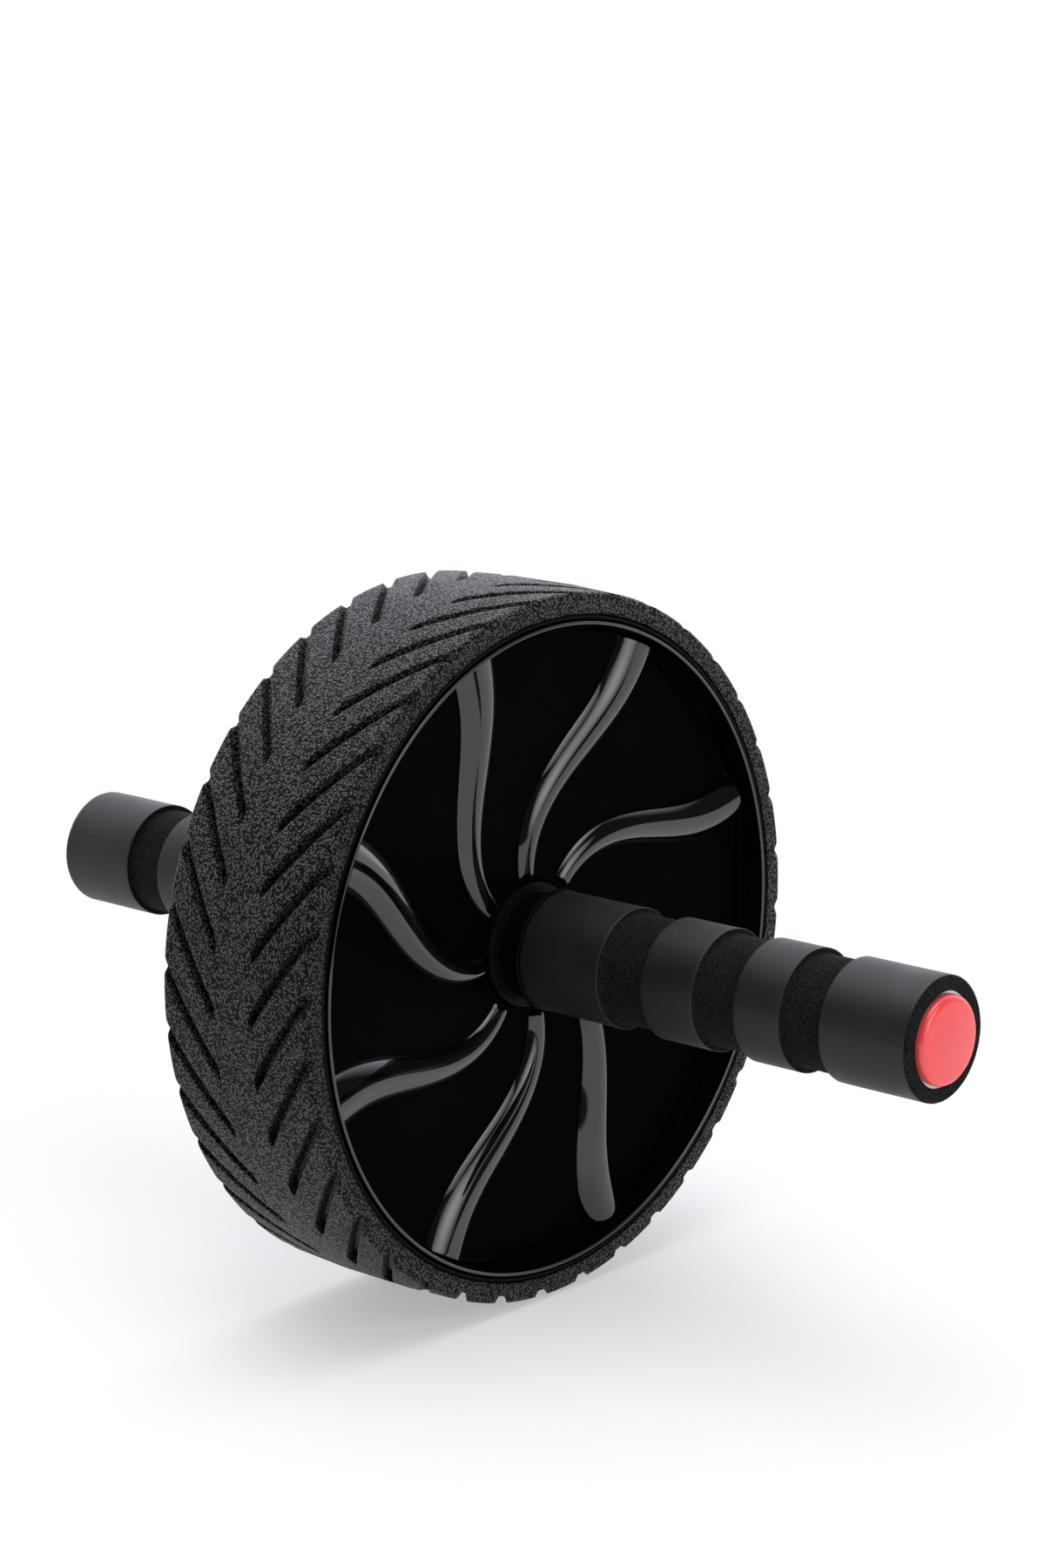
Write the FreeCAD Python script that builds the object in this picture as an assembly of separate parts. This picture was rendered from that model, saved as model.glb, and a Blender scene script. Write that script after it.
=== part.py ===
import FreeCAD, Part
import math
import os

# Ab wheel roller. The axle lies along Y, the wheel's centre is the origin and +Z is up.
# Lengths are in millimetres, angles in degrees. "Along" is the distance from the wheel's mid plane.

# Axle tube
tube_diameter = 25.0
tube_wall = 1.2

# Foam grips, from the wheel outwards
grip_wall = 4.0
first_band = 27.3
first_groove = 14.7
second_band = 17.2
second_groove = 13.5
third_band = 14.8
third_groove = 12.5
end_band = 26.5
groove_depth = 1.5
groove_rounding = 0.7
grip_inner_rounding = 0.8
grip_end_rounding = 1.2
grip_overhang = 0.6

# End plugs
plug_flange_inset = 0.75
plug_flange_edge = 2.3
plug_edge_rounding = 1.6
plug_dome_rise = 1.1
plug_stem_length = 16.0
plug_stem_wall = 1.6
plug_rib_height = 0.5
plug_rib_width = 1.2
plug_rib_count = 3

# Grip collars and their spring pins
collar_flange_proud = 0.2
collar_flange_thickness = 1.6
collar_neck_wall = 2.1
collar_neck_length = 6.8
collar_flange_rounding = 0.5
pin_diameter = 3.0
pin_wall = 0.5
pin_slot = 0.6

# Hub sleeve, bushes and thrust washers
sleeve_length = 30.0
sleeve_wall = 2.45
bush_length = 12.0
bush_wall = 1.94
bush_flange_height = 2.7
bush_flange_thickness = 1.6
washer_face = 2.9
washer_thickness = 0.8

# Rim halves
rim_width = 52.0
rim_mouth_wall = 1.8
rim_barrel_wall = 3.6
rim_web = 2.4
rim_outer_chamfer = 0.4
rim_mouth_chamfer = 0.7
boss_wall = 4.5
sleeve_proud = 1.4
rib_count = 8
rib_thickness = 2.0
rib_step = 2.5
key_width = 8.0
key_depth = 1.2

# Screws that join the rim halves
screw_count = 8
screw_circle_share = 0.57
screw_diameter = 4.0
screw_length = 12.0
screw_head_diameter = 7.4
screw_head_height = 2.4
screw_head_chamfer = 0.8
screw_recess_diameter = 3.2
screw_recess_depth = 1.2
screw_boss_wall = 2.2

# Side covers and their spokes
cover_wall = 2.0
cover_lip_proud = 0.7
cover_lip_width = 0.9
cover_lip_rounding = 0.4
cover_skirt_length = 11.2
cover_skirt_wall = 1.7
cover_hole_clearance = 1.0
dish_depth = 7.7
dish_corner_rounding = 2.4
spoke_count = 8
spoke_start_angle = -18.0
spoke_sweep_angle = -33.0
spoke_bend_share = 1.45
spoke_inner_margin = 1.3
spoke_rim_width = 15.5
spoke_hub_width = 6.0
spoke_rim_height = 4.5
spoke_hub_height = 2.2
spoke_root = 0.6
spoke_end_length = 3.2
spoke_end_shares = [0.06, 0.25, 0.55]
spoke_stations = 7

# Tyre and its tread
tyre_diameter = 196.0
tyre_thickness = 6.6
tyre_proud = 0.2
tread_flat = 20.0
tread_fall = 0.8
tyre_shoulder_rounding = 1.6
lug_count = 36
tread_groove_width = 2.8
tread_groove_depth = 3.0
tread_groove_start = 6.2
tread_groove_angle = 16.0
tread_groove_offset_angle = 6.0

# Fits: running on the tube, push fits, seats and end play
running_clearance = 0.06
push_clearance = 0.05
seat_clearance = 0.1
end_play = 0.12
boss_gap = 0.2
overrun = 1.0

ORIGIN = FreeCAD.Vector(0, 0, 0)
AXLE = FreeCAD.Vector(0, 1, 0)
UP = FreeCAD.Vector(0, 0, 1)

# Places along the axle that several pieces share
tube_radius = tube_diameter / 2
tube_bore_radius = tube_radius - tube_wall
grip_radius = tube_radius + grip_wall
neck_radius = tube_radius + collar_neck_wall
sleeve_end = sleeve_length / 2
boss_end = sleeve_end - sleeve_proud
bush_face = sleeve_end + bush_flange_thickness
washer_start = bush_face + end_play
collar_start = washer_start + washer_thickness + end_play
flange_start = collar_start + collar_neck_length
grip_start = flange_start + collar_flange_thickness
grip_runs = [first_band, first_groove, second_band, second_groove, third_band, third_groove, end_band]
tube_end = grip_start + sum(grip_runs)
grip_end = tube_end + grip_overhang
pin_along = collar_start + collar_neck_length / 2

# Radii and planes of the wheel
tyre_radius = tyre_diameter / 2
rim_radius = tyre_radius - tyre_thickness
rim_end = rim_width / 2
mouth_radius = rim_radius - rim_mouth_wall
barrel_radius = rim_radius - rim_barrel_wall
bush_radius = tube_radius + running_clearance + bush_wall
bush_flange_radius = bush_radius + bush_flange_height
sleeve_bore_radius = bush_radius + push_clearance
sleeve_radius = sleeve_bore_radius + sleeve_wall
boss_radius = sleeve_radius + boss_wall
lip_plane = rim_end + cover_lip_proud
skirt_end = lip_plane - cover_skirt_length
skirt_radius = mouth_radius - seat_clearance
dish_radius = skirt_radius - cover_skirt_wall
dish_rim_plane = lip_plane - dish_depth
dish_hub_plane = boss_end + boss_gap + cover_wall
hole_radius = bush_flange_radius + cover_hole_clearance
spoke_inner_radius = hole_radius + spoke_inner_margin
tyre_end = rim_end + tyre_proud
screw_circle_radius = rim_radius * screw_circle_share


def turned(corners):
    """Solid of revolution about the axle from a closed outline of (radius, along, rounding) corners."""
    points = [FreeCAD.Vector(radius, along, 0) for radius, along, _ in corners]
    starts, ends, arcs = [], [], []
    for index, point in enumerate(points):
        rounding = corners[index][2]
        back = points[index - 1] - point
        ahead = points[(index + 1) % len(points)] - point
        back.normalize()
        ahead.normalize()
        if rounding == 0:
            starts.append(point)
            ends.append(point)
            arcs.append(None)
            continue
        half_angle = back.getAngle(ahead) / 2
        reach = rounding / math.tan(half_angle)
        inward = back + ahead
        inward.normalize()
        middle = point + inward * (rounding / math.sin(half_angle) - rounding)
        starts.append(point + back * reach)
        ends.append(point + ahead * reach)
        arcs.append(Part.Arc(starts[-1], middle, ends[-1]))
    edges = []
    for index, arc in enumerate(arcs):
        if arc:
            edges.append(arc.toShape())
        edges.append(Part.LineSegment(ends[index], starts[(index + 1) % len(points)]).toShape())
    return Part.Face(Part.Wire(edges)).revolve(ORIGIN, AXLE, 360)


def ring(outer_radius, inner_radius, start, end):
    """Plain turned ring between two planes."""
    face = [(inner_radius, start), (outer_radius, start), (outer_radius, end), (inner_radius, end)]
    return turned([(radius, along, 0) for radius, along in face])


def across(radius, along):
    """Cylinder along Z, through the tube and out of both its sides."""
    length = 2 * (grip_radius + overrun)
    return Part.makeCylinder(radius, length, FreeCAD.Vector(0, along, -length / 2), UP)


def turned_about_axle(shape, angle):
    return shape.rotated(ORIGIN, AXLE, angle)


def swapped(shape):
    """The same piece fitted from the other side: half a turn about Z."""
    return shape.rotated(ORIGIN, UP, 180)


def save(shape, node):
    shape.exportStep(os.path.join("parts", node + ".step"))


# The tube carries everything, with cross holes for the collar pins
def axle_tube():
    tube = ring(tube_radius, tube_bore_radius, -tube_end, tube_end)
    pin_hole_radius = pin_diameter / 2 + push_clearance
    return tube.cut([across(pin_hole_radius, pin_along), across(pin_hole_radius, -pin_along)])


# Foam sleeve with ground grooves between skinned bands
def grip():
    bore = tube_radius + push_clearance
    groove_radius = grip_radius - groove_depth
    corners = [(bore, grip_start, 0), (grip_radius, grip_start, grip_inner_rounding)]
    along = grip_start
    for index, run in enumerate(grip_runs[:-1]):
        along += run
        band_ends = index % 2 == 0
        before, after = (grip_radius, groove_radius) if band_ends else (groove_radius, grip_radius)
        corners.append((before, along, groove_rounding if band_ends else 0))
        corners.append((after, along, 0 if band_ends else groove_rounding))
    corners.append((grip_radius, grip_end, grip_end_rounding))
    corners.append((bore, grip_end, 0))
    return turned(corners)


# Domed plug with a hollow ribbed stem that grips the tube's bore
def end_plug():
    stem_radius = tube_bore_radius - plug_rib_height
    stem_bore = stem_radius - plug_stem_wall
    rib_radius = tube_bore_radius - push_clearance
    stem_tip = tube_end - plug_stem_length
    edge_plane = tube_end + plug_flange_edge
    flange_radius = tube_radius - plug_flange_inset
    dome_radius = (flange_radius ** 2 + plug_dome_rise ** 2) / (2 * plug_dome_rise)
    dome_centre = FreeCAD.Vector(0, edge_plane + plug_dome_rise - dome_radius, 0)
    dome = Part.makeSphere(dome_radius, dome_centre)
    flange = Part.makeCylinder(flange_radius, plug_flange_edge + plug_dome_rise, AXLE * tube_end, AXLE)
    plug = flange.common(dome)
    circles = [edge for edge in plug.Edges if edge.isClosed()]
    outer = [edge for edge in circles if edge.CenterOfMass.y > edge_plane - push_clearance]
    plug = plug.makeFillet(plug_edge_rounding, outer)
    plug = plug.fuse(ring(stem_radius, stem_bore, stem_tip, tube_end + plug_flange_edge / 2))
    rib_pitch = plug_stem_length / (plug_rib_count + 1)
    for index in range(plug_rib_count):
        rib_start = tube_end - (index + 1) * rib_pitch
        plug = plug.fuse(ring(rib_radius, stem_bore, rib_start - plug_rib_width, rib_start))
    return plug.removeSplitter()


# Flanged collar that the grip stops against
def collar():
    bore = tube_radius + push_clearance
    flange_radius = grip_radius + collar_flange_proud
    shape = turned([
        (bore, collar_start, 0),
        (neck_radius, collar_start, 0),
        (neck_radius, flange_start, 0),
        (flange_radius, flange_start, collar_flange_rounding),
        (flange_radius, grip_start, collar_flange_rounding),
        (bore, grip_start, 0),
    ])
    return shape.cut(across(pin_diameter / 2 + push_clearance, pin_along))


# Slotted spring pin through collar and tube
def collar_pin():
    radius = pin_diameter / 2
    length = 2 * (neck_radius - seat_clearance)
    foot = FreeCAD.Vector(0, pin_along, -length / 2)
    pin = Part.makeCylinder(radius, length, foot, UP)
    bore = Part.makeCylinder(radius - pin_wall, length, foot, UP)
    slot = Part.makeBox(pin_diameter, pin_slot, length, foot - FreeCAD.Vector(0, pin_slot / 2, 0))
    return pin.cut([bore, slot])


def thrust_washer():
    bore = tube_radius + seat_clearance
    return ring(bore + washer_face, bore, washer_start, washer_start + washer_thickness)


# Flanged bush pressed into the hub sleeve, running on the tube
def bush():
    bore = tube_radius + running_clearance
    return turned([
        (bore, sleeve_end - bush_length, 0),
        (bush_radius, sleeve_end - bush_length, 0),
        (bush_radius, sleeve_end, 0),
        (bush_flange_radius, sleeve_end, 0),
        (bush_flange_radius, bush_face, 0),
        (bore, bush_face, 0),
    ])


def hub_sleeve():
    return ring(sleeve_radius, sleeve_bore_radius, -sleeve_end, sleeve_end)


def screw_angles():
    pitch = 360 / screw_count
    return [pitch * (index + 0.5) for index in range(screw_count)]


def along_screw(radius, start, end):
    """Cylinder on the screw circle, parallel to the axle."""
    foot = FreeCAD.Vector(screw_circle_radius, start, 0)
    return Part.makeCylinder(radius, end - start, foot, AXLE)


# Half of the moulded rim: barrel, web, hub boss and stiffening ribs
def rim_half():
    key_radius = rim_radius - key_depth
    rib_top = boss_end - rib_step
    shell = turned([
        (sleeve_radius + push_clearance, 0, 0),
        (key_radius, 0, 0),
        (key_radius, key_width / 2, 0),
        (rim_radius, key_width / 2, 0),
        (rim_radius, rim_end - rim_outer_chamfer, 0),
        (rim_radius - rim_outer_chamfer, rim_end, 0),
        (mouth_radius + rim_mouth_chamfer, rim_end, 0),
        (mouth_radius, rim_end - rim_mouth_chamfer, 0),
        (mouth_radius, skirt_end, 0),
        (barrel_radius, skirt_end, 0),
        (barrel_radius, rim_web, 0),
        (boss_radius, rim_web, 0),
        (boss_radius, boss_end, 0),
        (sleeve_radius + push_clearance, boss_end, 0),
    ])
    rib_inner = boss_radius - boss_wall / 2
    rib_length = barrel_radius + rim_mouth_wall / 2 - rib_inner
    rib_foot = FreeCAD.Vector(rib_inner, rim_web / 2, -rib_thickness / 2)
    rib = Part.makeBox(rib_length, rib_top - rim_web / 2, rib_thickness, rib_foot)
    pitch = 360 / rib_count
    return shell.fuse([turned_about_axle(rib, pitch * index) for index in range(rib_count)])


# The left half has clear holes for the screws, the right half has blind bosses that they cut into
def rim_left():
    hole = along_screw(screw_diameter / 2 + seat_clearance, -overrun, rim_web + overrun)
    return rim_half().cut([turned_about_axle(hole, angle) for angle in screw_angles()]).removeSplitter()


def rim_right():
    boss_height = screw_length - rim_web + screw_boss_wall
    boss = along_screw(screw_diameter / 2 + screw_boss_wall, -boss_height, -rim_web / 2)
    pilot_end = seat_clearance - boss_height + screw_boss_wall / 2
    pilot = along_screw(screw_diameter / 2 + push_clearance, pilot_end, overrun)
    bosses = [turned_about_axle(boss, angle) for angle in screw_angles()]
    pilots = [turned_about_axle(pilot, angle) for angle in screw_angles()]
    return swapped(rim_half()).fuse(bosses).cut(pilots).removeSplitter()


# Pan head screws with a round drive recess, one solid each
def rim_screws():
    head_radius = screw_head_diameter / 2
    head_top = rim_web + screw_head_height
    crown_foot = FreeCAD.Vector(screw_circle_radius, head_top - screw_head_chamfer, 0)
    crown = Part.makeCone(head_radius, head_radius - screw_head_chamfer, screw_head_chamfer, crown_foot, AXLE)
    head = along_screw(head_radius, rim_web, head_top - screw_head_chamfer)
    shank = along_screw(screw_diameter / 2, rim_web - screw_length, rim_web + screw_head_height / 4)
    recess = along_screw(screw_recess_diameter / 2, head_top - screw_recess_depth, head_top + overrun)
    screw = head.fuse([crown, shank]).cut(recess).removeSplitter()
    return Part.makeCompound([turned_about_axle(screw, angle) for angle in screw_angles()])


def dish_plane(radius):
    """Height of the dish's outer face over the mid plane at a radius."""
    share = (radius - hole_radius) / (dish_radius - hole_radius)
    return dish_hub_plane + (dish_rim_plane - dish_hub_plane) * share


def spoke_run(radius):
    """Share of the way from a spoke's inner end to the rim."""
    return (radius - spoke_inner_radius) / (dish_radius - spoke_inner_radius)


def spoke_centre(radius):
    """Point of the S curve, which turns neither at the rim nor at the hub, in the mid plane."""
    eased = max(1 - spoke_run(radius), 0) ** spoke_bend_share
    angle = math.radians(spoke_start_angle + spoke_sweep_angle * eased * eased * (3 - 2 * eased))
    return FreeCAD.Vector(radius * math.cos(angle), 0, radius * math.sin(angle))


def spoke_section(radius, size_share):
    """Round-backed cross section of a spoke, square to its centre line."""
    width = (spoke_hub_width + (spoke_rim_width - spoke_hub_width) * spoke_run(radius)) * size_share
    height = (spoke_hub_height + (spoke_rim_height - spoke_hub_height) * spoke_run(radius)) * size_share
    direction = spoke_centre(radius + spoke_end_length) - spoke_centre(radius - spoke_end_length)
    direction.normalize()
    sideways = direction.cross(AXLE)
    foot = spoke_centre(radius) + AXLE * (dish_plane(radius) - spoke_root)
    crown = foot + AXLE * (height + spoke_root)
    left = foot - sideways * (width / 2)
    right = foot + sideways * (width / 2)
    return Part.Wire([Part.Arc(left, crown, right).toShape(), Part.LineSegment(right, left).toShape()])


# A spoke is lofted between its two rounded ends
def spoke():
    outer = dish_radius + cover_skirt_wall / 4
    first = spoke_inner_radius + spoke_end_length
    step = (outer - spoke_end_length - first) / (spoke_stations - 1)
    sections = [spoke_section(first + step * station, 1) for station in range(spoke_stations)]
    for share in reversed(spoke_end_shares):
        size_share = (1 - (1 - share) ** 3) ** (1 / 3)
        sections.insert(0, spoke_section(spoke_inner_radius + spoke_end_length * share, size_share))
        sections.append(spoke_section(outer - spoke_end_length * share, size_share))
    return Part.makeLoft(sections, True)


# Glossy dished cover: turned shell with a rolled lip, a skirt and lofted spokes
def cover():
    hole_foot = dish_hub_plane - cover_wall
    shell = turned([
        (hole_radius, hole_foot, 0),
        (dish_radius, dish_rim_plane - cover_wall, 0),
        (dish_radius, skirt_end, 0),
        (skirt_radius, skirt_end, 0),
        (skirt_radius, lip_plane, cover_lip_rounding),
        (skirt_radius - cover_lip_width, lip_plane, cover_lip_rounding),
        (dish_radius, dish_rim_plane, dish_corner_rounding),
        (hole_radius, dish_hub_plane, 0),
    ])
    blade = spoke()
    pitch = 360 / spoke_count
    return shell.fuse([turned_about_axle(blade, pitch * index) for index in range(spoke_count)])


# One straight tread groove, round at its centre end and open at the shoulder
def tread_groove():
    half_width = tread_groove_width / 2
    rise = tyre_end - tread_groove_start
    sweep = tyre_radius * math.radians(tread_groove_angle)
    length = math.hypot(rise, sweep)
    floor = tyre_radius - tread_groove_depth
    height = tread_groove_depth + overrun
    corner = FreeCAD.Vector(0, -half_width, 0)
    slot = Part.makeBox(length + tread_groove_width, tread_groove_width, height, corner)
    slot = slot.fuse(Part.makeCylinder(half_width, height)).removeSplitter()
    slot.rotate(ORIGIN, UP, math.degrees(math.atan2(rise, sweep)))
    slot.translate(FreeCAD.Vector(-sweep / 2, tread_groove_start + half_width, floor))
    return slot


# Rubber sleeve: crowned tread, square shoulders, a key that locks in the rim and the chevron grooves
def tyre():
    bore = rim_radius + push_clearance
    key_bore = bore - key_depth
    key_half = key_width / 2 - seat_clearance
    side = [
        (key_bore, key_half, 0),
        (bore, key_half, 0),
        (bore, tyre_end, 0),
        (tyre_radius - tread_fall, tyre_end, tyre_shoulder_rounding),
        (tyre_radius, tread_flat / 2, 0),
    ]
    mirrored = [(radius, -along, rounding) for radius, along, rounding in reversed(side)]
    body = turned(side + mirrored)
    groove = tread_groove()
    other = groove.mirror(ORIGIN, AXLE)
    pitch = 360 / lug_count
    grooves = []
    for index in range(lug_count):
        angle = pitch * index + tread_groove_offset_angle
        grooves.append(turned_about_axle(groove, angle))
        grooves.append(turned_about_axle(other, angle))
    return body.cut(grooves)


os.makedirs("parts", exist_ok=True)
save(axle_tube(), "axle_tube")
save(hub_sleeve(), "hub_sleeve")
save(rim_left(), "rim_left")
save(rim_right(), "rim_right")
save(rim_screws(), "rim_screws")
save(tyre(), "tyre")
paired = {
    "grip": grip(),
    "end_plug": end_plug(),
    "collar": collar(),
    "collar_pin": collar_pin(),
    "thrust_washer": thrust_washer(),
    "bush": bush(),
    "cover": cover(),
}
for name, shape in paired.items():
    save(shape, name + "_left")
    save(swapped(shape), name + "_right")
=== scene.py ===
import math

import bmesh
import bpy
from mathutils import Matrix, Vector, noise


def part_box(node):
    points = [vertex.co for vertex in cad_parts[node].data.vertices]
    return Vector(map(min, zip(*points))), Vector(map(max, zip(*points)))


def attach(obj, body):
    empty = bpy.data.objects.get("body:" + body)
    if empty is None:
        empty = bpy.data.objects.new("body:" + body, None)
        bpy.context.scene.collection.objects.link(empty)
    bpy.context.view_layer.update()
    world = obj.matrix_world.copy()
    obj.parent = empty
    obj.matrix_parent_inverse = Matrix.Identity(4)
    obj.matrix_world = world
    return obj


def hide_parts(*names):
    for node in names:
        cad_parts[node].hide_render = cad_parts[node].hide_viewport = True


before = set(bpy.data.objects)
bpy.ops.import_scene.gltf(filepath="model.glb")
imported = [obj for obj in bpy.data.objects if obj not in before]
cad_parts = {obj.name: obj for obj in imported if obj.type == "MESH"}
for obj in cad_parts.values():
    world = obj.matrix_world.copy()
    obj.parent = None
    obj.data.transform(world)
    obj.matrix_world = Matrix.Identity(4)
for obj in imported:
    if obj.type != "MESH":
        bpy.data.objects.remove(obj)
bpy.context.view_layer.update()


# Axle tube and hub sleeve: bright zinc-plated steel tube, drawn, sawn to length and cross-drilled.
# The tube runs through the wheel and both grips, and the sleeve is pressed into the rim's hub.
mm = 0.001


def add(tree, kind, **settings):
    """New node in a tree, with its settings."""
    node = tree.nodes.new(kind)
    for name, value in settings.items():
        setattr(node, name, value)
    return node


def new_finish(name, **sockets):
    """Material with a principled shader, whose plain values are given as socket_name=value."""
    finish = bpy.data.materials.new(name)
    finish.use_nodes = True
    shader = finish.node_tree.nodes["Principled BSDF"]
    for socket, value in sockets.items():
        shader.inputs[socket.replace("_", " ")].default_value = value
    return finish, finish.node_tree, shader


def object_places(tree, stretch=(1, 1, 1)):
    """Places on the piece, squeezed or drawn out along its axes."""
    places = add(tree, "ShaderNodeTexCoord")
    drawn = add(tree, "ShaderNodeMapping")
    drawn.inputs["Scale"].default_value = stretch
    tree.links.new(places.outputs["Object"], drawn.inputs["Vector"])
    return drawn.outputs["Vector"]


def ranged(tree, value, span, result):
    """A value carried from a span to a range of results, clamped at both ends."""
    node = add(tree, "ShaderNodeMapRange")
    for socket, number in zip(("From Min", "From Max", "To Min", "To Max"), (*span, *result)):
        node.inputs[socket].default_value = number
    tree.links.new(value, node.inputs["Value"])
    return node.outputs["Result"]


def blended(tree, mask, first, second):
    """Two plain colours mixed by a mask."""
    node = add(tree, "ShaderNodeMix", data_type="RGBA")
    node.inputs["A"].default_value = (*first, 1)
    node.inputs["B"].default_value = (*second, 1)
    tree.links.new(mask, node.inputs["Factor"])
    return node.outputs["Result"]


def bumped(tree, shader, height, depth, strength):
    """Surface relief of a depth in metres."""
    node = add(tree, "ShaderNodeBump")
    node.inputs["Strength"].default_value = strength
    node.inputs["Distance"].default_value = depth
    tree.links.new(height, node.inputs["Height"])
    tree.links.new(node.outputs["Normal"], shader.inputs["Normal"])


# Shared by most finishes: a fine skin grain of soft cells, and the smudges of handling
cell_softness = 0.6
cell_share = 0.8
smudge_span = (0.35, 0.7)
grain = bpy.data.node_groups.new("skin_grain", "ShaderNodeTree")
grain.interface.new_socket("Places", in_out="INPUT", socket_type="NodeSocketVector")
grain.interface.new_socket("Scale", in_out="INPUT", socket_type="NodeSocketFloat")
grain.interface.new_socket("Height", in_out="OUTPUT", socket_type="NodeSocketFloat")
grain.interface.new_socket("Smudge", in_out="OUTPUT", socket_type="NodeSocketFloat")
grain_in = add(grain, "NodeGroupInput")
grain_out = add(grain, "NodeGroupOutput")
grain_cells = add(grain, "ShaderNodeTexVoronoi", feature="SMOOTH_F1")
grain_cells.inputs["Smoothness"].default_value = cell_softness
grain_noise = add(grain, "ShaderNodeTexNoise")
grain_noise.inputs["Detail"].default_value = 3.0
for texture in (grain_cells, grain_noise):
    grain.links.new(grain_in.outputs["Places"], texture.inputs["Vector"])
    grain.links.new(grain_in.outputs["Scale"], texture.inputs["Scale"])
grain_sum = add(grain, "ShaderNodeMath", operation="MULTIPLY_ADD")
grain_sum.inputs[1].default_value = cell_share
grain.links.new(grain_cells.outputs["Distance"], grain_sum.inputs[0])
grain.links.new(grain_noise.outputs["Fac"], grain_sum.inputs[2])
grain.links.new(grain_sum.outputs["Value"], grain_out.inputs["Height"])
smudge_noise = add(grain, "ShaderNodeTexNoise")
for socket, number in (("Scale", 60.0), ("Detail", 5.0), ("Roughness", 0.65), ("Distortion", 0.8)):
    smudge_noise.inputs[socket].default_value = number
grain.links.new(grain_in.outputs["Places"], smudge_noise.inputs["Vector"])
smudge_mask = ranged(grain, smudge_noise.outputs["Fac"], smudge_span, (0, 1))
grain.links.new(smudge_mask, grain_out.inputs["Smudge"])


def grained(tree, places, cells):
    """The skin grain's height and smudge mask, at so many cells to the metre."""
    node = add(tree, "ShaderNodeGroup", node_tree=grain)
    node.inputs["Scale"].default_value = cells
    tree.links.new(places, node.inputs["Places"])
    return node.outputs["Height"], node.outputs["Smudge"]


def grained_finish(name, colours, roughness, cells, depth, strength, stretch=(1, 1, 1), **sockets):
    """Finish with the skin grain as its relief, whose colour and roughness follow the smudges."""
    finish, tree, shader = new_finish(name, **sockets)
    height, smudge = grained(tree, object_places(tree, stretch), cells)
    tree.links.new(blended(tree, smudge, *colours), shader.inputs["Base Color"])
    tree.links.new(ranged(tree, smudge, (0, 1), roughness), shader.inputs["Roughness"])
    bumped(tree, shader, height, depth, strength)
    return finish


def dress(finish, *nodes):
    """Gives a finish to pieces of the frame that show as they are."""
    for node in nodes:
        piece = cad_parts[node]
        piece.data.materials.clear()
        piece.data.materials.append(finish)


zinc = grained_finish(
    "zinc_plated_tube",
    colours=((0.58, 0.59, 0.60), (0.45, 0.46, 0.48)),
    roughness=(0.24, 0.38),
    cells=1400.0,
    depth=0.03 * mm,
    strength=0.4,
    stretch=(1, 0.05, 1),
    Metallic=1.0,
)
dress(zinc, "axle_tube", "hub_sleeve")


# Rim screws and collar pins: small hardened steel fasteners with a dark oiled finish.
# Eight screws pull the rim halves together, and a spring pin holds each collar on the tube.
oiled = grained_finish(
    "oiled_steel",
    colours=((0.10, 0.10, 0.105), (0.055, 0.055, 0.06)),
    roughness=(0.32, 0.48),
    cells=1400.0,
    depth=0.03 * mm,
    strength=0.4,
    Metallic=1.0,
)
dress(oiled, "rim_screws", "collar_pin_left", "collar_pin_right")


# Bushes and thrust washers: plain bearings turned from black acetal rod.
# The bushes are pressed into the hub sleeve and run on the tube, the washers take the end thrust.
bearing = grained_finish(
    "black_acetal",
    colours=((0.004, 0.004, 0.004), (0.007, 0.007, 0.007)),
    roughness=(0.36, 0.5),
    cells=900.0,
    depth=0.04 * mm,
    strength=0.4,
    stretch=(1, 6, 1),
    Specular_IOR_Level=0.04,
)
dress(bearing, "bush_left", "bush_right", "thrust_washer_left", "thrust_washer_right")


# Rim halves and grip collars: black nylon, injection moulded with a fine spark-eroded texture.
# The halves carry the tyre and the covers, and each collar is pinned to the tube as the grip's stop.
satin = grained_finish(
    "satin_black_nylon",
    colours=((0.0020, 0.0019, 0.0019), (0.0032, 0.0030, 0.0030)),
    roughness=(0.30, 0.42),
    cells=2600.0,
    depth=0.04 * mm,
    strength=0.5,
    Specular_IOR_Level=0.04,
)
dress(satin, "rim_left", "rim_right", "collar_left", "collar_right")


# Tyre: a ring of black rubber, moulded with chevron grooves that start beside a plain centre band.
# It is stretched over the rim, and the key inside it drops into the groove between the rim halves.
tyre_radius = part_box("tyre")[1][2]
tyre_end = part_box("tyre")[1][1]
tyre_fit = 0.05 * mm
tyre_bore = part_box("rim_left")[1][2] + tyre_fit
tyre_lining = 1.6 * mm
key_depth = 1.2 * mm
key_bore = tyre_bore - key_depth
key_end = 3.9 * mm
tread_flat = 10.0 * mm
tread_fall = 0.8 * mm
tread_crease = 38
shoulder_rounding = 1.6 * mm
shoulder_steps = 9
lug_count = 36
groove_start = 6.2 * mm
groove_ramp = 0.25 * mm
groove_half_width = 1.4 * mm
groove_depth = 3.0 * mm
groove_floor = tyre_radius - groove_depth
groove_lead = math.radians(1.7)
groove_sweep = math.radians(16)
groove_tip_share = 0.2
wall_drop = 0.3 * mm
wall_top = groove_floor - wall_drop

# Rows of points from the shoulder to the centre band, closer together where the grooves start
tread_rows = [23.4 * mm, 20.8 * mm, 18.2 * mm, 15.6 * mm, 13.0 * mm, 11.5 * mm, tread_flat]
tread_rows += [8.8 * mm, 7.6 * mm, 6.9 * mm, groove_start + groove_ramp, groove_start, 3.0 * mm]

# Columns across a groove, as reach in half widths and share of the depth, and across the land beside it
groove_columns = [(-1.25, 0), (-1.05, 0.04), (-0.45, 1), (0, 1), (0.45, 1), (1.05, 0.04), (1.25, 0)]
land_columns = 5


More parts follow.
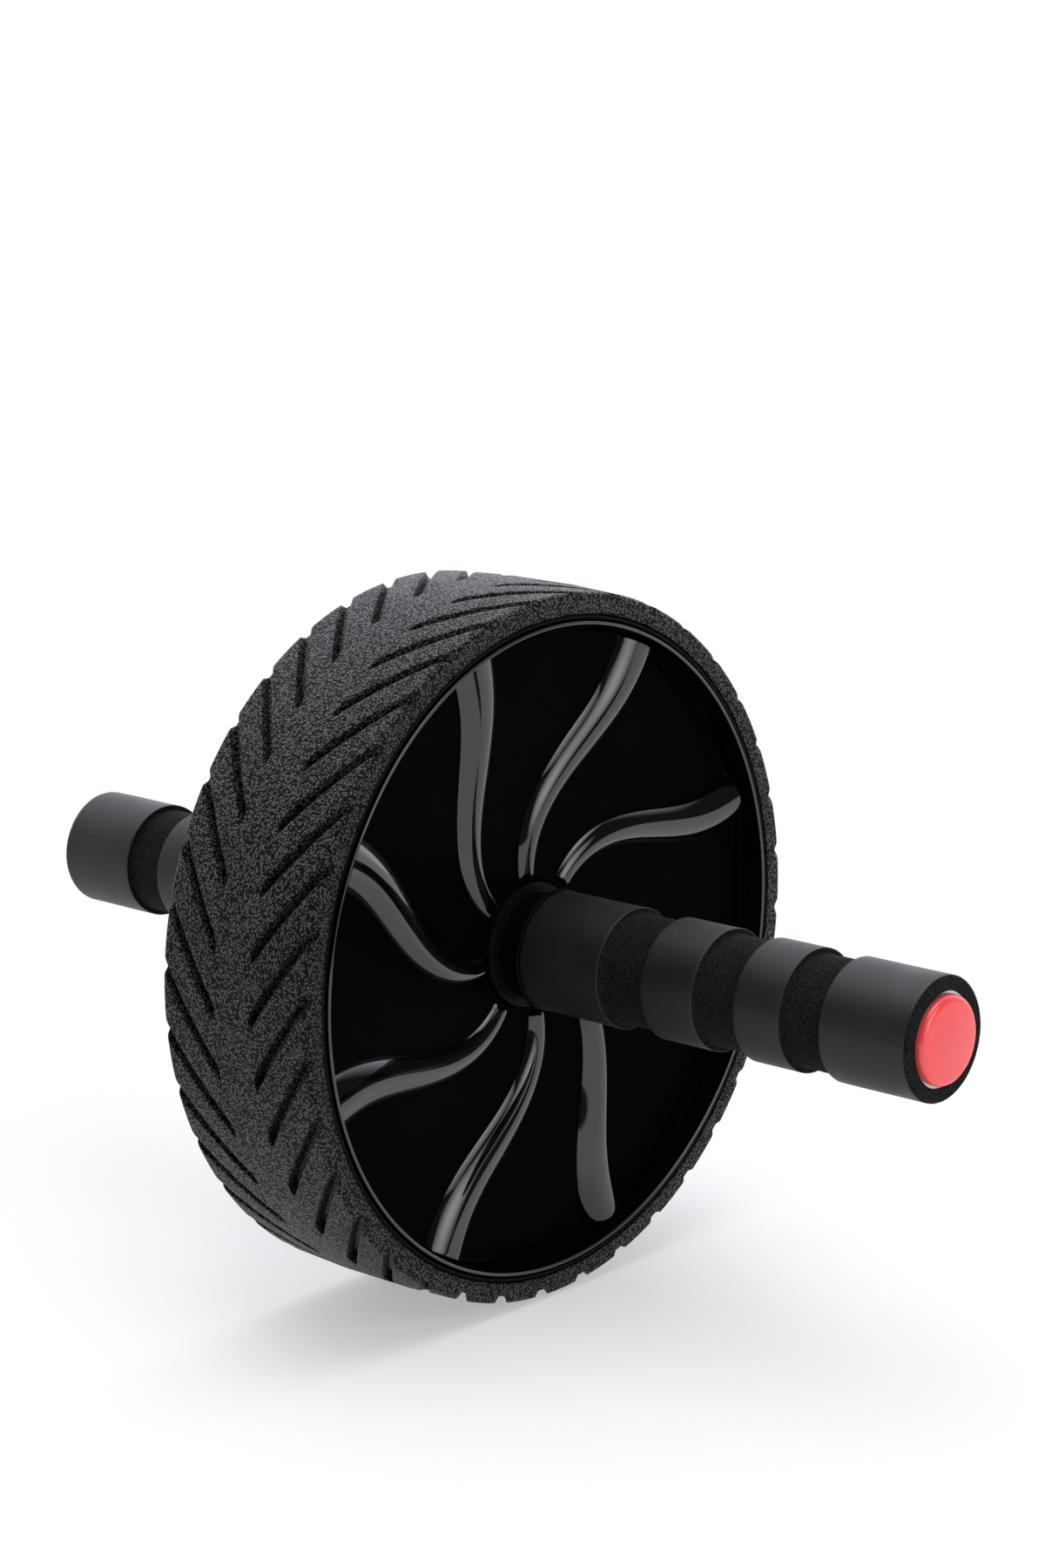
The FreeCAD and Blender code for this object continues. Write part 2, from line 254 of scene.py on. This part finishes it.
def rounded_outline(corners, arc_steps):
    """Outline points of (radius, along, rounding) corners, with an arc at each rounded one."""
    points = []
    for index, (radius, along, rounding) in enumerate(corners):
        corner = Vector((radius, along))
        if not rounding:
            points.append(corner)
            continue
        back = (Vector(corners[index - 1][:2]) - corner).normalized()
        ahead = (Vector(corners[(index + 1) % len(corners)][:2]) - corner).normalized()
        half_angle = back.angle(ahead) / 2
        inward = (back + ahead).normalized()
        centre = corner + inward * (rounding / math.sin(half_angle))
        first = (corner + back * (rounding / math.tan(half_angle)) - centre).normalized()
        last = (corner + ahead * (rounding / math.tan(half_angle)) - centre).normalized()
        for step in range(arc_steps + 1):
            points.append(centre + first.slerp(last, step / arc_steps) * rounding)
    return points


def turned(points, steps):
    """Closed outline of (radius, along) points, spun about the axle."""
    mesh = bmesh.new()
    ring = [mesh.verts.new((radius, along, 0)) for radius, along in points]
    edges = [mesh.edges.new(pair) for pair in zip(ring, ring[1:] + ring[:1])]
    axle = (0, 1, 0)
    bmesh.ops.spin(
        mesh, geom=ring + edges, cent=(0, 0, 0), axis=axle, angle=math.tau, steps=steps, use_merge=True
    )
    bmesh.ops.recalc_face_normals(mesh, faces=mesh.faces)
    return mesh


def as_piece(mesh, name, body, finishes, crease):
    """Object of a finished mesh, smooth but for edges sharper than the crease angle, riding on a body."""
    for face in mesh.faces:
        face.smooth = True
    data = bpy.data.meshes.new(name)
    mesh.to_mesh(data)
    mesh.free()
    data.set_sharp_from_angle(angle=math.radians(crease))
    for finish in finishes:
        data.materials.append(finish)
    piece = bpy.data.objects.new(name, data)
    bpy.context.collection.objects.link(piece)
    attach(piece, body)
    return piece


def tread_radius(along):
    """Radius of the tread's crown: level in the middle, falling towards the shoulders."""
    fallen = (along - tread_flat) / (tyre_end - tread_flat)
    return tyre_radius - tread_fall * max(fallen, 0)


def tread_mesh():
    """Spun tyre whose columns slant with the grooves and sink into them."""
    side = [
        (key_bore, key_end, 0),
        (tyre_bore, key_end, 0),
        (tyre_bore, tyre_end, 0),
        (wall_top, tyre_end, 0),
        (tyre_radius - tread_fall, tyre_end, shoulder_rounding),
    ]
    side += [(tread_radius(row), row, 0) for row in tread_rows]
    mirrored = [(radius, -along, rounding) for radius, along, rounding in reversed(side)]
    columns = len(groove_columns) + land_columns
    mesh = turned(rounded_outline(side + mirrored, shoulder_steps), lug_count * columns)

    pitch = math.tau / lug_count
    groove_run = tyre_end - groove_start
    slant = math.atan2(groove_run, tyre_radius * groove_sweep)
    half_angle = groove_half_width / math.sin(slant) / tyre_radius
    edge = groove_columns[-1][0] * half_angle
    land_step = (pitch - 2 * edge) / (land_columns + 1)
    for vert in mesh.verts:
        radius = math.hypot(vert.co.x, vert.co.z)
        if radius < tyre_bore + tyre_lining:
            continue
        past = max(abs(vert.co.y) - groove_start, 0)
        share = min(past / groove_half_width, 1)
        width_share = max(math.sqrt(1 - (1 - share) ** 2), groove_tip_share)
        place = round(math.atan2(vert.co.z, vert.co.x) / pitch * columns)
        lug, column = divmod(place, columns)
        if column < len(groove_columns):
            reach, depth_share = groove_columns[column]
            spare = math.copysign(max(abs(reach) - 1, 0), reach)
            offset = ((reach - spare) * width_share + spare) * half_angle
            ramp = min(past / groove_ramp, 1)
            radius -= depth_share * ramp * max(radius - groove_floor, 0)
        else:
            offset = edge + land_step * (column - len(groove_columns) + 1)
        angle = lug * pitch + offset + groove_lead - groove_sweep * past / groove_run
        vert.co.x = radius * math.cos(angle)
        vert.co.z = radius * math.sin(angle)
    return mesh


pebbles_to_metre = 1500.0
pebble_height = 0.2 * mm
pebble_span = (0.22, 0.55)
relief_span = (0.15, 0.65)
# The tread's own black, and a much lighter colour for the pebble tops that is a painted glint of the lamps
rubber_and_painted_glint_colours = ((0.0026, 0.0026, 0.0028), (0.030, 0.031, 0.033))
rubber_roughness = (0.48, 0.28)
rubber_shine = (0.08, 0.75)
rubber, rubber_tree, rubber_shader = new_finish("tread_rubber")
pebbles = add(rubber_tree, "ShaderNodeTexVoronoi", feature="F1")
pebbles.inputs["Scale"].default_value = pebbles_to_metre
rubber_tree.links.new(object_places(rubber_tree), pebbles.inputs["Vector"])
pebble_tops = ranged(rubber_tree, pebbles.outputs["Distance"], pebble_span, (1, 0))
# Pebble tops take the lighter colour as painted glints; their roughness and shine follow the same mask as
# real relief
rubber_and_painted_glint_colour = blended(rubber_tree, pebble_tops, *rubber_and_painted_glint_colours)
rubber_tree.links.new(rubber_and_painted_glint_colour, rubber_shader.inputs["Base Color"])
for socket, limits in (("Roughness", rubber_roughness), ("Specular IOR Level", rubber_shine)):
    rubber_tree.links.new(ranged(rubber_tree, pebble_tops, (0, 1), limits), rubber_shader.inputs[socket])
pebble_relief = ranged(rubber_tree, pebbles.outputs["Distance"], relief_span, (1, 0))
bumped(rubber_tree, rubber_shader, pebble_relief, pebble_height, strength=1.0)
tyre = as_piece(tread_mesh(), "tread_tyre", "wheel", [rubber], tread_crease)
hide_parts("tyre")


# Side covers: black dishes, moulded with eight S-shaped half-round spokes and a rolled lip.
# Spokes and lip are polished in the mould and the dish is left dull. Each snaps into its rim half.
lip_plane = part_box("cover_left")[1][1]
lip_width = 0.9 * mm
lip_rounding = 0.4 * mm
lip_polish = 1.5 * mm
skirt_radius = 89.5 * mm
skirt_depth = 11.2 * mm
skirt_wall = 1.7 * mm
skirt_end = lip_plane - skirt_depth
dish_radius = skirt_radius - skirt_wall
dish_depth = 7.7 * mm
dish_rim_plane = lip_plane - dish_depth
dish_hub_plane = 15.8 * mm
dish_corner = 2.4 * mm
dish_margin = 0.05 * mm
cover_wall = 2.0 * mm
cover_arc_steps = 7
cover_crease = 32
coarse_row = 1.1 * mm
fine_row = 0.25 * mm
hole_radius = 18.2 * mm
spoke_count = 8
spoke_hub_gap = 1.3 * mm
spoke_rim_gap = 0.06 * mm
spoke_inner = hole_radius + spoke_hub_gap
spoke_outer = dish_radius - spoke_rim_gap
spoke_lead = math.radians(-18)
spoke_sweep = math.radians(-33)
spoke_bend = 1.45
spoke_widths = (6.0 * mm, 15.5 * mm)
spoke_heights = (2.2 * mm, 4.5 * mm)
spoke_end = 0.8 * mm
spoke_end_fullness = 3
spoke_tip_share = 0.3
spoke_columns = 26
gap_columns = 16


def dish_plane(radius):
    """Place along the axle of the dish's outer face, which sinks evenly from the rim to the hub."""
    share = (radius - hole_radius) / (dish_radius - hole_radius)
    return dish_hub_plane + (dish_rim_plane - dish_hub_plane) * share


def spoke_angle(radius):
    """The S curve's angle: no turn at the rim or the hub, the whole sweep between them."""
    share = min(max((dish_radius - radius) / (dish_radius - spoke_inner), 0), 1)
    eased = share ** spoke_bend
    return spoke_lead + spoke_sweep * eased * eased * (3 - 2 * eased)


def spoke_form(radius):
    """Half width along the ring, height and size share of a spoke at a radius."""
    run = (radius - spoke_inner) / (dish_radius - spoke_inner)
    from_end = min(radius - spoke_inner, spoke_outer - radius) / spoke_end
    short = 1 - min(max(from_end, 0), 1)
    share = (1 - short ** spoke_end_fullness) ** (1 / spoke_end_fullness)
    width = spoke_widths[0] + (spoke_widths[1] - spoke_widths[0]) * run
    height = spoke_heights[0] + (spoke_heights[1] - spoke_heights[0]) * run
    step = 0.1 * mm
    turn = radius * (spoke_angle(radius + step) - spoke_angle(radius - step)) / (2 * step)
    along_ring = width / 2 * math.hypot(1, turn)
    return along_ring, height, share


def half_turned(mesh):
    """The same mesh for the other side: half a turn about the upright axis."""
    other = mesh.copy()
    bmesh.ops.rotate(other, cent=(0, 0, 0), matrix=Matrix.Rotation(math.pi, 3, "Z"), verts=other.verts)
    return other


def cover_mesh():
    """Left cover: a spun shell whose columns bend into spokes on the dish's outer face."""
    outline = rounded_outline([
        (hole_radius, dish_hub_plane - cover_wall, 0),
        (dish_radius, dish_rim_plane - cover_wall, 0),
        (dish_radius, skirt_end, 0),
        (skirt_radius, skirt_end, 0),
        (skirt_radius, lip_plane, lip_rounding),
        (skirt_radius - lip_width, lip_plane, lip_rounding),
        (dish_radius, dish_rim_plane, dish_corner),
    ], cover_arc_steps)
    radius = dish_radius - dish_corner - fine_row
    while radius > hole_radius:
        outline.append(Vector((radius, dish_plane(radius))))
        near_end = min(spoke_outer - radius, abs(radius - spoke_inner)) < spoke_end
        radius -= fine_row if near_end else coarse_row
    outline.append(Vector((hole_radius, dish_hub_plane)))
    columns = spoke_columns + gap_columns
    mesh = turned(outline, spoke_count * columns)

    pitch = math.tau / spoke_count
    half_columns = spoke_columns // 2
    polished = set()
    for vert in mesh.verts:
        radius = math.hypot(vert.co.x, vert.co.z)
        if vert.co.y > lip_plane - lip_polish and radius > dish_radius:
            polished.add(vert)
        on_face = vert.co.y > dish_plane(radius) - cover_wall / 2 and radius < dish_radius - dish_margin
        if not on_face:
            continue
        place = round(math.atan2(vert.co.z, vert.co.x) / pitch * columns)
        spoke, column = divmod(place + half_columns, columns)
        column -= half_columns
        along_ring, height, share = spoke_form(radius)
        half_width = along_ring * max(share, spoke_tip_share)
        half_angle = half_width / radius
        if abs(column) <= half_columns:
            across = math.sin(column / half_columns * math.pi / 2)
            offset = half_angle * across
            rise = height * share
            crown = 0
            if rise > 0:
                bow = (half_width ** 2 + rise ** 2) / (2 * rise)
                crown = math.sqrt(bow ** 2 - (half_width * across) ** 2) - bow + rise
            vert.co.y = max(vert.co.y, dish_plane(radius) + crown)
            if spoke_inner < radius < spoke_outer:
                polished.add(vert)
        else:
            gap_share = (column - half_columns) / gap_columns
            offset = half_angle + (pitch - 2 * half_angle) * gap_share
        angle = spoke * pitch + offset + spoke_angle(radius)
        vert.co.x = radius * math.cos(angle)
        vert.co.z = radius * math.sin(angle)
    for face in mesh.faces:
        face.material_index = int(all(vert in polished for vert in face.verts))
    return mesh


dull = grained_finish(
    "dull_black_dish",
    colours=((0.0016, 0.0009, 0.0007), (0.0024, 0.0014, 0.0011)),
    roughness=(0.30, 0.42),
    cells=1800.0,
    depth=0.02 * mm,
    strength=0.3,
    Specular_IOR_Level=0.005,
)
gloss = grained_finish(
    "polished_black_spoke",
    colours=((0.0016, 0.0014, 0.0014), (0.0024, 0.0021, 0.0021)),
    roughness=(0.045, 0.08),
    cells=700.0,
    depth=0.01 * mm,
    strength=0.15,
    Specular_IOR_Level=0.85,
)
left_shell = cover_mesh()
for side, shell in (("right", half_turned(left_shell)), ("left", left_shell)):
    cover = as_piece(shell, "spoked_cover_" + side, "wheel", [dull, gloss], cover_crease)
    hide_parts("cover_" + side)


# Grips: sleeves of black rubber foam, with the skin left on in bands and ground away in the grooves.
# They are blown on to the tube with air and stop against the collars.
grip_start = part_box("grip_left")[0][1]
grip_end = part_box("grip_left")[1][1]
grip_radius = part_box("grip_left")[1][2]
grip_fit = 0.05 * mm
grip_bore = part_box("axle_tube")[1][2] + grip_fit
grip_lining = 0.5 * mm
grip_start_rounding = 0.8 * mm
grip_end_rounding = 1.2 * mm
grip_row = 0.8 * mm
grip_columns = 180
grip_arc_steps = 5
grip_crease = 60
ground_depth = 1.5 * mm
ground_rounding = 0.5 * mm
band_rounding = 0.3 * mm
skin_edge = 1.0 * mm
skin_depth = 0.06 * mm
wave_size = 14 * mm
wave_height = 0.10 * mm
pore_size = 0.9 * mm
pore_height = 0.07 * mm

# Bands and grooves in turn from the collar outwards, and the last band runs on to the end
grip_runs = [27.3 * mm, 14.7 * mm, 17.2 * mm, 13.5 * mm, 14.8 * mm, 12.5 * mm]


def spaced(points, longest):
    """The same closed outline with no run longer than this."""
    finer = []
    for point, after in zip(points, points[1:] + points[:1]):
        parts = max(1, math.ceil((after - point).length / longest))
        finer.extend(point.lerp(after, part / parts) for part in range(parts))
    return finer


def grip_mesh():
    """Left grip: banded sleeve with softened edges, a little uneven, and rough where it is ground."""
    floor_radius = grip_radius - ground_depth
    corners = [(grip_bore, grip_start, 0), (grip_radius, grip_start, grip_start_rounding)]
    along = grip_start
    ground = []
    for index, run in enumerate(grip_runs):
        if index % 2:
            ground.append((along, along + run))
            corners.append((floor_radius, along, ground_rounding))
            corners.append((floor_radius, along + run, ground_rounding))
        corners.append((grip_radius, along + run, band_rounding))
        along += run
    corners.append((grip_radius, grip_end, grip_end_rounding))
    corners.append((grip_bore, grip_end, 0))
    mesh = turned(spaced(rounded_outline(corners, grip_arc_steps), grip_row), grip_columns)

    skinned = set()
    for vert in mesh.verts:
        radius = math.hypot(vert.co.x, vert.co.z)
        if radius < grip_bore + grip_lining:
            continue
        in_groove = any(start < vert.co.y < end for start, end in ground)
        cut = in_groove or vert.co.y > grip_end - skin_edge
        outward = Vector((vert.co.x, 0, vert.co.z)).normalized()
        wave = noise.noise(vert.co / wave_size) * wave_height
        pores = noise.noise(vert.co / pore_size) * pore_height if cut else 0
        vert.co += outward * (wave - wave_height + pores)
        if not cut and radius > grip_radius - skin_depth:
            skinned.add(vert)
    for face in mesh.faces:
        face.material_index = int(not any(vert in skinned for vert in face.verts))
    return mesh


skin_colours = ((0.0085, 0.0088, 0.0094), (0.0120, 0.0124, 0.0132))
skin_roughness = (0.46, 0.56)
skin_cells = 2400.0
skin_grain_share = 0.25
folds_to_metre = 130.0
fold_stretch = (1, 0.45, 1)
fold_span = (0, 0.035)
skin, skin_tree, skin_shader = new_finish("foam_skin", Specular_IOR_Level=0.4)
skin_height, skin_smudge = grained(skin_tree, object_places(skin_tree), skin_cells)
skin_folds = add(skin_tree, "ShaderNodeTexVoronoi", feature="DISTANCE_TO_EDGE")
skin_folds.inputs["Scale"].default_value = folds_to_metre
skin_tree.links.new(object_places(skin_tree, fold_stretch), skin_folds.inputs["Vector"])
skin_fold_line = ranged(skin_tree, skin_folds.outputs["Distance"], fold_span, (0, 1))
skin_relief = add(skin_tree, "ShaderNodeMath", operation="MULTIPLY_ADD")
skin_relief.inputs[1].default_value = skin_grain_share
skin_tree.links.new(skin_height, skin_relief.inputs[0])
skin_tree.links.new(skin_fold_line, skin_relief.inputs[2])
skin_tree.links.new(blended(skin_tree, skin_smudge, *skin_colours), skin_shader.inputs["Base Color"])
skin_tree.links.new(ranged(skin_tree, skin_smudge, (0, 1), skin_roughness), skin_shader.inputs["Roughness"])
bumped(skin_tree, skin_shader, skin_relief.outputs["Value"], depth=0.06 * mm, strength=0.35)

# Foam colour on the tops of its relief, and near black in the hollows as painted shade in the pores
foam_colours_with_painted_pore_shade = ((0.0004, 0.0004, 0.0004), (0.014, 0.0135, 0.013))
foam_roughness = (0.85, 0.98)
foam_cells = 1700.0
foam_span = (0.6, 1.0)
foam, foam_tree, foam_shader = new_finish("ground_foam", Specular_IOR_Level=0.1)
foam_height, foam_smudge = grained(foam_tree, object_places(foam_tree), foam_cells)
foam_tops = ranged(foam_tree, foam_height, foam_span, (0, 1))
# The colour darkens into the relief's hollows: painted shade in the pores
foam_tree.links.new(blended(foam_tree, foam_tops, *foam_colours_with_painted_pore_shade), foam_shader.inputs["Base Color"])
foam_tree.links.new(ranged(foam_tree, foam_smudge, (0, 1), foam_roughness), foam_shader.inputs["Roughness"])
bumped(foam_tree, foam_shader, foam_height, depth=0.3 * mm, strength=0.8)

left_sleeve = grip_mesh()
for side, sleeve in (("right", half_turned(left_sleeve)), ("left", left_sleeve)):
    grip = as_piece(sleeve, "foam_grip_" + side, "handle", [skin, foam], grip_crease)
    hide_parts("grip_" + side)


# End plugs: red polyethylene, moulded with a low dome, a softened flange edge and a hollow ribbed stem.
# They are tapped into the ends of the tube, where the ribs grip the bore.
plug_low, plug_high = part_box("end_plug_left")
plug_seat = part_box("axle_tube")[1][1]
plug_columns = 128
plug_arc_steps = 4
plug_crease = 35
flange_radius = plug_high[2]
flange_edge = 2.3 * mm
flange_rounding = 1.6 * mm
seat_rounding = 0.2 * mm
dome_top = plug_high[1]
dome_rise = dome_top - plug_seat - flange_edge
dome_steps = 24
edge_steps = 3
stem_tip = plug_low[1]
stem_radius = 10.8 * mm
stem_wall = 1.6 * mm
stem_rounding = 0.3 * mm
rib_height = 0.45 * mm
rib_width = 1.2 * mm
rib_count = 3
weld_reach = 0.001 * mm
sliver_reach = 0.0001 * mm


def plug_mesh():
    """Left plug: dome, flange and stem in one spun outline that closes on the axle."""
    stem_length = plug_seat - stem_tip
    stem_bore = stem_radius - stem_wall
    corners = [(stem_bore, plug_seat, 0), (stem_bore, stem_tip, 0), (stem_radius, stem_tip, stem_rounding)]
    for index in reversed(range(rib_count)):
        rib = plug_seat - stem_length * (index + 1) / (rib_count + 1)
        corners.append((stem_radius, rib - rib_width, 0))
        corners.append((stem_radius + rib_height, rib - rib_width / 2, 0))
        corners.append((stem_radius, rib, 0))
    corners.append((stem_radius, plug_seat, 0))
    corners.append((flange_radius, plug_seat, seat_rounding))
    corners.append((flange_radius, plug_seat + flange_edge, flange_rounding))
    bow = (flange_radius ** 2 + dome_rise ** 2) / (2 * dome_rise)
    spread = math.asin(flange_radius / bow)
    for step in reversed(range(dome_steps - edge_steps)):
        angle = spread * step / dome_steps
        corners.append((bow * math.sin(angle), dome_top - bow + bow * math.cos(angle), 0))
    corners.append((0, plug_seat, 0))
    mesh = turned(rounded_outline(corners, plug_arc_steps), plug_columns)
    bmesh.ops.remove_doubles(mesh, verts=mesh.verts, dist=weld_reach)
    bmesh.ops.dissolve_degenerate(mesh, edges=mesh.edges, dist=sliver_reach)
    bmesh.ops.recalc_face_normals(mesh, faces=mesh.faces)
    return mesh


red = grained_finish(
    "red_polyethylene",
    colours=((0.86, 0.066, 0.071), (0.82, 0.060, 0.065)),
    roughness=(0.20, 0.28),
    cells=1500.0,
    depth=0.02 * mm,
    strength=0.25,
    Specular_IOR_Level=0.7,
)
left_dome = plug_mesh()
for side, dome in (("right", half_turned(left_dome)), ("left", left_dome)):
    plug = as_piece(dome, "red_plug_" + side, "handle", [red], plug_crease)
    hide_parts("end_plug_" + side)


# Studio: a white table, a white backdrop behind the roller and dim surroundings in front of it.
# A softbox faces the near end of the axle and a larger one hangs overhead.
scene = bpy.context.scene
scene.view_settings.view_transform = "Standard"
table_height = -tyre_radius
table_size = 4.0
table_mesh = bmesh.new()
bmesh.ops.create_grid(table_mesh, x_segments=1, y_segments=1, size=table_size)
bmesh.ops.translate(table_mesh, vec=(0, 0, table_height), verts=table_mesh.verts)
table_data = bpy.data.meshes.new("table")
table_mesh.to_mesh(table_data)
table_mesh.free()
table = bpy.data.objects.new("table", table_data)
bpy.context.collection.objects.link(table)

# Away from the roller the paper shows as pure white, and near it keeps most of the shadow
shadow_span = (0.12, 0.29)
shadow_whites = (0.4, 1)
paper_colour = (0.92, 0.92, 0.92, 1)
paper, paper_tree, paper_shader = new_finish(
    "white_paper", Base_Color=paper_colour, Roughness=0.9, Specular_IOR_Level=0.1
)
paper_far = add(paper_tree, "ShaderNodeVectorMath", operation="LENGTH")
paper_tree.links.new(object_places(paper_tree), paper_far.inputs[0])
paper_white = ranged(paper_tree, paper_far.outputs["Value"], shadow_span, shadow_whites)
paper_light = add(paper_tree, "ShaderNodeLightPath")
paper_seen = add(paper_tree, "ShaderNodeMath", operation="MAXIMUM")
paper_tree.links.new(paper_light.outputs["Is Camera Ray"], paper_seen.inputs[0])
paper_tree.links.new(paper_light.outputs["Is Glossy Ray"], paper_seen.inputs[1])
paper_fade = add(paper_tree, "ShaderNodeMath", operation="MULTIPLY")
paper_tree.links.new(paper_white, paper_fade.inputs[0])
paper_tree.links.new(paper_seen.outputs["Value"], paper_fade.inputs[1])
paper_glow = add(paper_tree, "ShaderNodeEmission")
paper_mix = add(paper_tree, "ShaderNodeMixShader")
paper_tree.links.new(paper_fade.outputs["Value"], paper_mix.inputs[0])
paper_tree.links.new(paper_shader.outputs["BSDF"], paper_mix.inputs[1])
paper_tree.links.new(paper_glow.outputs["Emission"], paper_mix.inputs[2])
paper_output = paper_tree.nodes["Material Output"]
paper_tree.links.new(paper_mix.outputs["Shader"], paper_output.inputs["Surface"])
table_data.materials.append(paper)

# The light of the surroundings grows towards the backdrop, which the camera sees as plain white
behind = Vector((0.64, 0.77, 0))
behind_span = (0.05, 0.45)
room_levels = (0.06, 1.7)
room_tint = (0.95, 1.0, 1.08)
backdrop_tint = (1, 1, 1)
world = bpy.data.worlds.new("studio")
scene.world = world
world.use_nodes = True
sky = world.node_tree
sky.nodes.clear()
sky_places = add(sky, "ShaderNodeTexCoord")
sky_behind = add(sky, "ShaderNodeVectorMath", operation="DOT_PRODUCT")
sky_behind.inputs[1].default_value = behind
sky.links.new(sky_places.outputs["Generated"], sky_behind.inputs[0])
sky_camera = add(sky, "ShaderNodeLightPath")
sky_strength = add(sky, "ShaderNodeMath", operation="MAXIMUM")
sky.links.new(ranged(sky, sky_behind.outputs["Value"], behind_span, room_levels), sky_strength.inputs[0])
sky.links.new(sky_camera.outputs["Is Camera Ray"], sky_strength.inputs[1])
sky_shade = add(sky, "ShaderNodeBackground")
sky_tint = blended(sky, sky_camera.outputs["Is Camera Ray"], room_tint, backdrop_tint)
sky.links.new(sky_tint, sky_shade.inputs["Color"])
sky.links.new(sky_strength.outputs["Value"], sky_shade.inputs["Strength"])
sky_output = add(sky, "ShaderNodeOutputWorld")
sky.links.new(sky_shade.outputs["Background"], sky_output.inputs["Surface"])

panel_middle = (0.5, 0.5, 0)
panel_span = (0.1, 0.6)
panel_levels = (1, 0.1)


def softbox(name, place, aim, width, height, watts):
    """Lamp with a rectangular panel that fades from its middle to its edges."""
    lamp = bpy.data.lights.new(name, "AREA")
    lamp.shape = "RECTANGLE"
    lamp.size = width
    lamp.size_y = height
    lamp.energy = watts
    lamp.use_nodes = True
    tree = lamp.node_tree
    panel = add(tree, "ShaderNodeNewGeometry")
    off_middle = add(tree, "ShaderNodeVectorMath", operation="DISTANCE")
    off_middle.inputs[1].default_value = panel_middle
    tree.links.new(panel.outputs["Parametric"], off_middle.inputs[0])
    faded = ranged(tree, off_middle.outputs["Value"], panel_span, panel_levels)
    tree.links.new(faded, tree.nodes["Emission"].inputs["Strength"])
    box = bpy.data.objects.new(name, lamp)
    box.location = place
    box.rotation_euler = (Vector(aim) - Vector(place)).to_track_quat("-Z", "Y").to_euler()
    bpy.context.collection.objects.link(box)


softbox("front_softbox", (-0.15, -1.05, 0.45), aim=(0, -0.05, 0), width=1.2, height=1.0, watts=12.0)
softbox("overhead_softbox", (-0.12, -0.08, 1.10), aim=(0, 0, 0), width=1.2, height=1.3, watts=18.0)


# Camera: a long lens about a metre away, beside the near end of the axle and above the wheel's middle.
# It stands where the photograph was taken from and holds the whole roller in an upright picture.
camera_place = Vector((-0.7745, -0.6958, 0.2811))
camera_aim = Vector((0.0134, -0.0013, 0.0400))
lens = bpy.data.cameras.new("photo_camera")
lens.sensor_width = 36.0
lens.lens = 90.33
camera = bpy.data.objects.new("photo_camera", lens)
camera.location = camera_place
camera.rotation_euler = (camera_aim - camera_place).to_track_quat("-Z", "Y").to_euler()
bpy.context.collection.objects.link(camera)
scene.camera = camera
